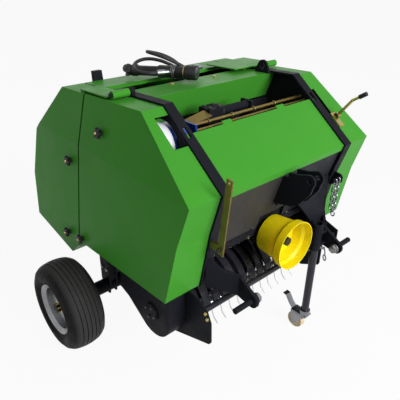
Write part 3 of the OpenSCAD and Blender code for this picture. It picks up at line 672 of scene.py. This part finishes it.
# Lip behind the seam between the covers and the tailgate
SEAM_X, SEAM_Z, SEAM_FALL = -646, 1113, 58 / 678
LIP_AHEAD, LIP_BACK = 12, -22
LIP_IN, LIP_T = 7, 2
LIP_HEIGHTS = (448, NOSE_Z, 1104)
LIP_TOP_HALVES = (366, 443)


def seam_x(z):
    return SEAM_X - SEAM_FALL * (SEAM_Z - z)


def add_seam_lips():
    for name, side in SIDES.items():
        bm = bmesh.new()
        for low, high in zip(LIP_HEIGHTS, LIP_HEIGHTS[1:]):
            spots = ((low, LIP_AHEAD), (low, LIP_BACK), (high, LIP_BACK), (high, LIP_AHEAD))
            corners = [at(seam_x(z) + dx, side * (half_at(z) - LIP_IN), z) for z, dx in spots]
            sheet(bm, corners, (0, -side * LIP_T * MM, 0))
        inner, outer = LIP_TOP_HALVES
        spots = ((inner, LIP_AHEAD), (inner, LIP_BACK), (outer, LIP_BACK), (outer, LIP_AHEAD))
        corners = [at(SEAM_X + dx, side * y, top_line(SEAM_X) - LIP_IN) for y, dx in spots]
        sheet(bm, corners, (0, 0, -LIP_T * MM))
        new_piece("seam_lip_" + name, bm, "chassis", "green_paint")


# Wheels: profiles as (radius, distance outward from the wheel's middle)
TRACK_HALF = 630
SHOULDER = [
    (102, 60), (117, 65), (124, 71), (132, 77), (142, 81.4), (152, 82.5), (163, 81), (173, 77.2), (182, 71),
    (189, 63.5), (194, 55.5), (197.2, 47)]
TREAD_R, TREAD_HALF, TREAD_FALL = 203, 47, 5.8
GROOVES, GROOVE_HALF, GROOVE_DEPTH = (-38, -19, 0, 19, 38), 2, 5
SIDEWALL_RINGS, RING_R = [(137, 79.6), (152, 82.6), (168, 79.3), (183, 70.2)], 1.2
RIM = [
    (20.5, 44), (34, 44), (37, 38), (38, 18), (48, 9), (64, 4), (80, 6), (88, 14), (93, 34), (97, 58),
    (104, 65), (112, 68.5), (116, 72.5), (118, 71), (117, 66), (102, 60), (102, -60), (117, -66), (117, -72),
    (104, -68), (98, -60), (92, -40), (88, -4), (62, -4), (46, 0), (30, 6), (20.5, 6)]
LUG_CIRCLE, LUG_COUNT, LUG_OUT, LUG_SIZE = 58, 5, 5, 10
VALVE, VALVE_R = [(96, 50), (90, 62)], 4
# Washer and nut on the hub, as (radius, low, high)
HUB_OUT, HUB_WASHER, HUB_NUT = 43, (27, 0, 4), (22, 3, 18)


def crown(out):
    """Radius of the tread at a distance from its middle."""
    return TREAD_R - TREAD_FALL * (out / TREAD_HALF) ** 2


def tyre_profile():
    tread = []
    for out in GROOVES:
        floor = crown(out) - GROOVE_DEPTH
        tread += [(crown(out - GROOVE_HALF), out - GROOVE_HALF), (floor, out - GROOVE_HALF / 2),
                  (floor, out + GROOVE_HALF / 2), (crown(out + GROOVE_HALF), out + GROOVE_HALF)]
    return [(r, -h) for r, h in SHOULDER] + tread + SHOULDER[::-1]


def add_wheel_details():
    turns = [2 * pi * k / LUG_COUNT for k in range(LUG_COUNT)]
    lugs = [Vector((LUG_CIRCLE * cos(t), LUG_CIRCLE * sin(t), LUG_OUT)) * MM for t in turns]
    for name, side in SIDES.items():
        body = "wheel_" + name
        outward = Vector((0, side, 0))
        middle = at(WHEEL_X, side * TRACK_HALF, WHEEL_Z)
        place = stand_on(middle, outward)
        tyre = new_piece("road_tyre_" + name, lathe(tyre_profile(), place), body, "tyre_rubber")
        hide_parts("tyre_" + name)
        rim = new_piece("wheel_rim_" + name, lathe(RIM, place), body, "silver_paint")
        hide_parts("rim_" + name)
        bolts("lug_nuts_" + name, LUG_SIZE, [(place @ lug, outward) for lug in lugs], body, "yellow_zinc")
        nut = bmesh.new()
        disc(nut, *HUB_WASHER, sides=32, edge=1)
        disc(nut, *HUB_NUT, sides=6, edge=2)
        on_hub = stand_on(middle + outward * HUB_OUT * MM, outward)
        new_piece("hub_nut_" + name, joined([(nut, on_hub)]), body, "yellow_zinc")
        nut.free()
        rings = bmesh.new()
        for radius, out in SIDEWALL_RINGS:
            for sign in (-1, 1):
                hoop(rings, middle + outward * sign * out * MM, outward, radius, RING_R, 72, 6)
        new_piece("sidewall_rings_" + name, rings, body, "tyre_rubber")
        stem = bmesh.new()
        tube(stem, [place @ Vector((r * MM, 0, h * MM)) for r, h in VALVE], VALVE_R)
        new_piece("valve_" + name, stem, body, "black_plastic")


# Drive shaft on the tailgate: its profile as (radius, distance along), its yoke about the cross
SHAFT_FROM, SHAFT_TO = at(-765, -194, 1145.65), at(-485, -37, 1159.65)
SHAFT_TUBE = [
    (0.5, 34), (22, 34), (24, 38), (24, 58), (20, 62), (20, 150), (25, 158), (25, 270), (28, 275), (29, 318),
    (27, 321), (24.5, 321), (24, 318.5), (0.5, 318.5)]
PRONG_HALF, PRONG_T, PRONG_OUT = 16, 9, 24
PRONG_ROOT, PRONG_ROUND = 36, 13
PRONG_TURNS = (3.67, 4.19, 4.71, 5.24, 5.76)
CROSS_AT, CROSS_R = 14, 8
CROSS_LONG, CROSS_SHORT = 27, 24
# Fittings at the shaft's far end: plate and nut as (radius, low, high), rings as distances back from it
FACE_BACK, FACE_PLATE, FACE_NUT = 3, (23, 0, 2), (11, 1, 5)
RIB_BACK, RIB_R, RIB_WIRE_R = (10, 20, 30, 40), 28.4, 1.6
SHAFT_RING_BACK, SHAFT_RING_R = 52, 26
TIE_BACK, TIE_LEAN, TIE_R, TIE_WIRE_R = (92, 97, 102), (-0.12, 0, 0.12), 27, 1.4


def shaft_yoke(place):
    bm = bmesh.new()
    prong = [(-PRONG_HALF, PRONG_ROOT), (-PRONG_HALF, CROSS_AT)]
    prong += [(PRONG_HALF * cos(t), CROSS_AT + PRONG_ROUND * sin(t)) for t in PRONG_TURNS]
    prong += [(PRONG_HALF, CROSS_AT), (PRONG_HALF, PRONG_ROOT)]
    for sign in (-1, 1):
        sheet(bm, [place @ (Vector((x, sign * PRONG_OUT, h)) * MM) for x, h in prong],
              place.to_3x3() @ Vector((0, -sign * PRONG_T * MM, 0)))
    tube(bm, [place @ (Vector((0, y, CROSS_AT)) * MM) for y in (-CROSS_LONG, CROSS_LONG)], CROSS_R, 16)
    tube(bm, [place @ (Vector((x, 0, CROSS_AT)) * MM) for x in (-CROSS_SHORT, CROSS_SHORT)], CROSS_R, 16)
    return bm


def add_shaft_details():
    along = (SHAFT_TO - SHAFT_FROM).normalized()
    place = stand_on(SHAFT_FROM, along)
    shaft = new_piece("drive_shaft", lathe(SHAFT_TUBE, place, 48), "tailgate", "black_plastic")
    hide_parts("stored_shaft")
    new_piece("shaft_yoke", shaft_yoke(place), "tailgate", "dark_steel")
    face = bmesh.new()
    disc(face, *FACE_PLATE, sides=40, edge=0.5)
    disc(face, *FACE_NUT, sides=6, edge=1)
    on_end = stand_on(SHAFT_TO - along * FACE_BACK * MM, along)
    new_piece("shaft_face", joined([(face, on_end)]), "tailgate", "zinc_plate")
    face.free()
    ring = bmesh.new()
    hoop(ring, SHAFT_TO - along * SHAFT_RING_BACK * MM, along, SHAFT_RING_R, RIB_WIRE_R, 48)
    new_piece("shaft_ring", ring, "tailgate", "yellow_zinc")
    ribs = bmesh.new()
    for back in RIB_BACK:
        hoop(ribs, SHAFT_TO - along * back * MM, along, RIB_R, RIB_WIRE_R, 40)
    new_piece("shaft_ribs", ribs, "tailgate", "black_plastic")
    tie = bmesh.new()
    for back, lean in zip(TIE_BACK, TIE_LEAN):
        hoop(tie, SHAFT_TO - along * back * MM, along + Vector((0, 0, lean)), TIE_R, TIE_WIRE_R, 40)
    new_piece("shaft_tie", tie, "tailgate", "bare_steel")


# Grip of the hand lever and bolt of the lift lever
LEVER_ELBOW, LEVER_TIP = at(-36, 393, 1071.7), at(12, 395, 1104.8)
GRIP_STOPS, GRIP_R = (-26, -24, 4, 7), 9
LIFT_BOLT_AT = at(-3, -361, 704)


def add_lever_details():
    along = (LEVER_TIP - LEVER_ELBOW).normalized()
    grip = bmesh.new()
    tube(grip, [LEVER_TIP + along * d * MM for d in GRIP_STOPS], GRIP_R, 16)
    new_piece("lever_grip", grip, "chassis", "black_plastic")
    bolts("lift_lever_bolt", 8, [(LIFT_BOLT_AT, TO_RIGHT)], "chassis", "dark_steel")


# Bolts on the body, on the faces that carry them
TOP_BOLTS = [(-540, -123), (-548, 302), (-552, -324), (-520, 90)]
BOSS_Y, BOSS_CIRCLE, BOSS_TURN = -493, 27, 1.2
PIN_NUT_X, PIN_NUT_HALF, PIN_NUT_Z = 79, 246, 487
BRACKET_Y, BRACKET_BOLTS = -411, [(-4, 455), (6, 435)]
WALL_OUT = Vector((0.956, 0, -0.292))
WALL_BOLT_X, WALL_BOLT_Z, WALL_BOLT_SPOTS = -84.5, 653, (-102, 102)
FOOT_BOLT_X, FOOT_BOLT_Z, FOOT_BOLT_SPOTS = -94, 609, (-300, -111, 111, 300)


def add_body_bolts():
    tops = [(at(x, y, top_line(x)), (-TOP_SLOPE, 0, 1)) for x, y in TOP_BOLTS]
    bolts("top_plate_bolts", 8, tops, "chassis", "yellow_zinc")
    turns = [pi / 2 * k + BOSS_TURN for k in range(4)]
    boss = [at(REEL_X + BOSS_CIRCLE * cos(t), BOSS_Y, REEL_Z + BOSS_CIRCLE * sin(t)) for t in turns]
    bolts("chain_case_bolts", 7, [(spot, TO_RIGHT) for spot in boss], "chassis", "dark_steel")
    pins = [(at(PIN_NUT_X, side * PIN_NUT_HALF, PIN_NUT_Z), (0, -side, 0)) for side in SIDES.values()]
    bolts("pin_nuts", 21, pins, "chassis", "bare_steel")
    plate = [(at(x, BRACKET_Y, z), TO_RIGHT) for x, z in BRACKET_BOLTS]
    bolts("pickup_bracket_bolts", 7, plate, "chassis", "yellow_zinc")
    middle = [(at(WALL_BOLT_X, y, WALL_BOLT_Z), WALL_OUT) for y in WALL_BOLT_SPOTS]
    bolts("wall_bolts", 8, middle, "chassis", "zinc_plate")
    foot = [(at(FOOT_BOLT_X, y, FOOT_BOLT_Z), WALL_OUT) for y in FOOT_BOLT_SPOTS]
    bolts("wall_foot_bolts", 8, foot, "chassis", "yellow_zinc")


# Bar along the wall's foot and the thin rods that hold the crop down
FOOT_BAR_SPANS, FOOT_BAR_T = ((-352, -82), (82, 352)), 5
FOOT_BAR_EDGES = ((-100, 603), (-88.4, 641))
CROP_ROD_Y = (-310, -190, -70, 70, 190, 310)
CROP_ROD, CROP_ROD_R = [(-122, -24, 594), (-96, -18, 572), (-36, 10, 458), (-30, 12, 451)], 3.5


def add_crop_rods():
    bar = bmesh.new()
    for span in FOOT_BAR_SPANS:
        low, high = [[at(x, y, z) for y in span] for x, z in FOOT_BAR_EDGES]
        sheet(bar, low + high[::-1], WALL_OUT * FOOT_BAR_T * MM)
    new_piece("wall_foot_bar", bar, "chassis", "black_paint")
    rods = bmesh.new()
    for y in CROP_ROD_Y:
        tube(rods, [at(x, y + dy, z) for x, dy, z in CROP_ROD], CROP_ROD_R)
    new_piece("crop_rods", rods, "chassis", "black_paint")


# Outer legs that hold the stub axles: two plates and the web between them
LEG_OUTLINE = [(-700, 455), (-622, 462), (-626, 230), (-636, 168), (-686, 168), (-696, 230)]
LEG_PLATES, LEG_PLATE_T = (396, 430), 8
LEG_WEB = [(398, 455), (434, 455), (434, 240), (398, 240)]
LEG_WEB_X, LEG_WEB_T = -630, 6
LEG_BOLTS = [(-680, 300), (-642, 300), (-680, 400), (-642, 400)]


def add_axle_legs():
    for name, side in SIDES.items():
        bm = bmesh.new()
        for y in LEG_PLATES:
            sheet(bm, [at(x, side * y, z) for x, z in LEG_OUTLINE], (0, side * LEG_PLATE_T * MM, 0))
        sheet(bm, [at(LEG_WEB_X, side * y, z) for y, z in LEG_WEB], (-LEG_WEB_T * MM, 0, 0))
        new_piece("axle_leg_" + name, bm, "chassis", "black_paint")
        face = side * (LEG_PLATES[-1] + LEG_PLATE_T)
        spots = [(at(x, face, z), (0, side, 0)) for x, z in LEG_BOLTS]
        bolts("axle_leg_bolts_" + name, 8, spots, "chassis", "bare_steel")


# Dark core that closes the reel behind its bars, put there as the shade inside the reel, and the coils that
# hold the tines
CORE_R, CORE_HALF = 84, 344
BAR_COUNT, BAR_CIRCLE, BAR_TURN, BAR_R = 4, 96, 72, 10
CHAMBER_W, BAND_COUNT = 710, 14
TINE_PITCH, TINE_COUNT = CHAMBER_W / BAND_COUNT, BAND_COUNT - 1
TINE_WIRE_R, COIL_TURNS, COIL_BITE = 2.5, 5, 0.5


def tine_coil():
    bm = bmesh.new()
    for k in range(COIL_TURNS):
        out = (k - (COIL_TURNS - 1) / 2) * 2 * TINE_WIRE_R
        hoop(bm, Vector((0, out * MM, 0)), ACROSS, BAR_R + TINE_WIRE_R - COIL_BITE, TINE_WIRE_R, 16, 5)
    return bm


def add_reel_details():
    core = bmesh.new()
    disc(core, CORE_R, -CORE_HALF, CORE_HALF, sides=48)
    place = stand_on(at(REEL_X, 0, REEL_Z), ACROSS)
    # painted shade: a black core behind the bars stands in for the shade inside the reel
    new_piece("reel_shade_core", joined([(core, place)]), "reel", "black_paint")
    core.free()
    spots = []
    for k in range(BAR_COUNT):
        turn = radians(BAR_TURN + 360 * k / BAR_COUNT)
        x, z = REEL_X + BAR_CIRCLE * cos(turn), REEL_Z - BAR_CIRCLE * sin(turn)
        for i in range(TINE_COUNT):
            spots.append(at(x, (i - (TINE_COUNT - 1) / 2) * TINE_PITCH, z))
    coil = tine_coil()
    coils = joined([(coil, Matrix.Translation(spot)) for spot in spots])
    new_piece("tine_coils", coils, "reel", "spring_steel")
    coil.free()


# Twine gear: white collar on the drum, guide plate, drive bolts, sprocket and rod clamps
COLLAR_AT, COLLAR = at(-292, -397, 1000), [(75.3, 0), (77, 0), (77, 27), (75.3, 29)]
GUIDE = [(-330, -258, 1040), (-286, -258, 1030), (-286, -140, 1052), (-330, -140, 1062)]
GUIDE_T = 4
DRIVE_TOP, DRIVE_BOLTS = 1072, [(-345, -125), (-345, -82), (-312, -125), (-312, -82)]
SPROCKET_AT, SPROCKET, SPROCKET_HUB = at(-330, -66, 1045), (30, 0, 10), (12, 9, 16)
CLAMP_X, CLAMP_Z, CLAMP_SPOTS = -262, 1048, (-180, -60, 60, 180)
CLAMP_R, CLAMP_WIRE_R = 8, 3


def add_twine_details():
    new_piece("drum_collar", lathe(COLLAR, stand_on(COLLAR_AT, ACROSS)), "chassis", "white_paint")
    guide = bmesh.new()
    sheet(guide, [at(*corner) for corner in GUIDE], (0, 0, GUIDE_T * MM))
    # darker plating on the guide: painted shade inside the twine box
    new_piece("twine_guide", guide, "chassis", "yellow_zinc", DULL_SHADED_ZINC)
    spots = [(at(x, y, DRIVE_TOP), UP) for x, y in DRIVE_BOLTS]
    bolts("twine_drive_bolts", 8, spots, "chassis", "dark_steel")
    wheel = bmesh.new()
    disc(wheel, *SPROCKET, sides=14, edge=1)
    disc(wheel, *SPROCKET_HUB, sides=20, edge=1)
    new_piece("twine_sprocket", joined([(wheel, stand_on(SPROCKET_AT, ACROSS))]), "chassis", "dark_steel")
    wheel.free()
    clamps = bmesh.new()
    for y in CLAMP_SPOTS:
        hoop(clamps, at(CLAMP_X, y, CLAMP_Z), ACROSS, CLAMP_R, CLAMP_WIRE_R, 20)
    # darker plating on the clamps: painted shade inside the twine box
    new_piece("twine_rod_clamps", clamps, "chassis", "yellow_zinc", DULL_SHADED_ZINC)


# Locking pin of the stand, with the wire and the ring that pull it
PIN, PIN_R = [(14, 230, 470), (38, 243, 466)], 6
PULL_WIRE, PULL_WIRE_R = [(36, 242, 467), (40, 244, 450), (42, 245, 432)], 3
PULL_RING_AT, PULL_RING_AXIS, PULL_RING_R = at(42, 245, 420), (0.5, 0.9, 0), 12


def add_stand_pin():
    pin = bmesh.new()
    tube(pin, [at(*spot) for spot in PIN], PIN_R, 14)
    tube(pin, [at(*spot) for spot in PULL_WIRE], PULL_WIRE_R)
    hoop(pin, PULL_RING_AT, PULL_RING_AXIS, PULL_RING_R, PULL_WIRE_R, 28)
    new_piece("stand_pin", pin, "chassis", "zinc_plate")


add_knobs()
add_seam_lips()
add_wheel_details()
add_shaft_details()
add_lever_details()
add_body_bolts()
add_crop_rods()
add_axle_legs()
add_reel_details()
add_twine_details()
add_stand_pin()


# Stage and light in metres, the lamps as (place, size, power)
WHITE = (1, 1, 1, 1)
FLOOR_HALF = 60
FLOOR_GLOW = 0.93
SKY_LIGHT = 0.25
LAMP_TARGET = Vector((0, 0, 0.7))
LAMPS = {
    "key": ((3.8, 0.2, 2.7), 2.0, 200),
    "side": ((-0.6, -4.2, 2.2), 2.5, 10),
    "back": ((-3.0, 2.5, 3.2), 2.5, 15),
}


def seen_by_camera(tree):
    """Output that is 1 for rays that show the backdrop, straight, through glass or in a polished face."""
    rays = tree.nodes.new("ShaderNodeLightPath")
    seen = rays.outputs["Is Camera Ray"]
    for kind in ("Is Transmission Ray", "Is Glossy Ray"):
        either = tree.nodes.new("ShaderNodeMath")
        either.operation = "MAXIMUM"
        tree.links.new(seen, either.inputs[0])
        tree.links.new(rays.outputs[kind], either.inputs[1])
        seen = either.outputs["Value"]
    return seen


def add_floor():
    mat = shader("pale_floor", (0.62, 0.62, 0.62), 0.9)
    tree = mat.node_tree
    glow = node(mat, "Emission", Strength=1.0)
    glow.inputs["Color"].default_value = WHITE
    share = node(mat, "Math", operation="MULTIPLY")
    share.inputs[1].default_value = FLOOR_GLOW
    both = node(mat, "MixShader")
    wire(mat, seen_by_camera(tree), share.inputs[0])
    wire(mat, share.outputs["Value"], both.inputs[0])
    wire(mat, bsdf_of(mat).outputs[0], both.inputs[1])
    wire(mat, glow.outputs[0], both.inputs[2])
    wire(mat, both.outputs[0], tree.nodes["Material Output"].inputs["Surface"])
    bm = bmesh.new()
    bmesh.ops.create_grid(bm, x_segments=1, y_segments=1, size=FLOOR_HALF)
    mesh = bpy.data.meshes.new("floor")
    bm.to_mesh(mesh)
    bm.free()
    mesh.materials.append(mat)
    floor = bpy.data.objects.new("floor", mesh)
    scene.collection.objects.link(floor)


def add_lamp(name, place, size, power):
    data = bpy.data.lights.new(name, "AREA")
    data.size = size
    data.energy = power
    lamp = bpy.data.objects.new(name, data)
    lamp.location = place
    lamp.rotation_euler = (LAMP_TARGET - Vector(place)).to_track_quat("-Z", "Y").to_euler()
    scene.collection.objects.link(lamp)


def add_world():
    world = bpy.data.worlds.new("studio")
    world.use_nodes = True
    tree = world.node_tree
    backdrop = tree.nodes["Background"]
    backdrop.inputs["Color"].default_value = WHITE
    level = tree.nodes.new("ShaderNodeMapRange")
    level.inputs["To Min"].default_value = SKY_LIGHT
    level.inputs["To Max"].default_value = 1.0
    tree.links.new(seen_by_camera(tree), level.inputs["Value"])
    tree.links.new(level.outputs["Result"], backdrop.inputs["Strength"])
    scene.world = world


add_floor()
add_world()
for lamp_name, lamp_facts in LAMPS.items():
    add_lamp(lamp_name, *lamp_facts)
scene.view_settings.view_transform = "Standard"
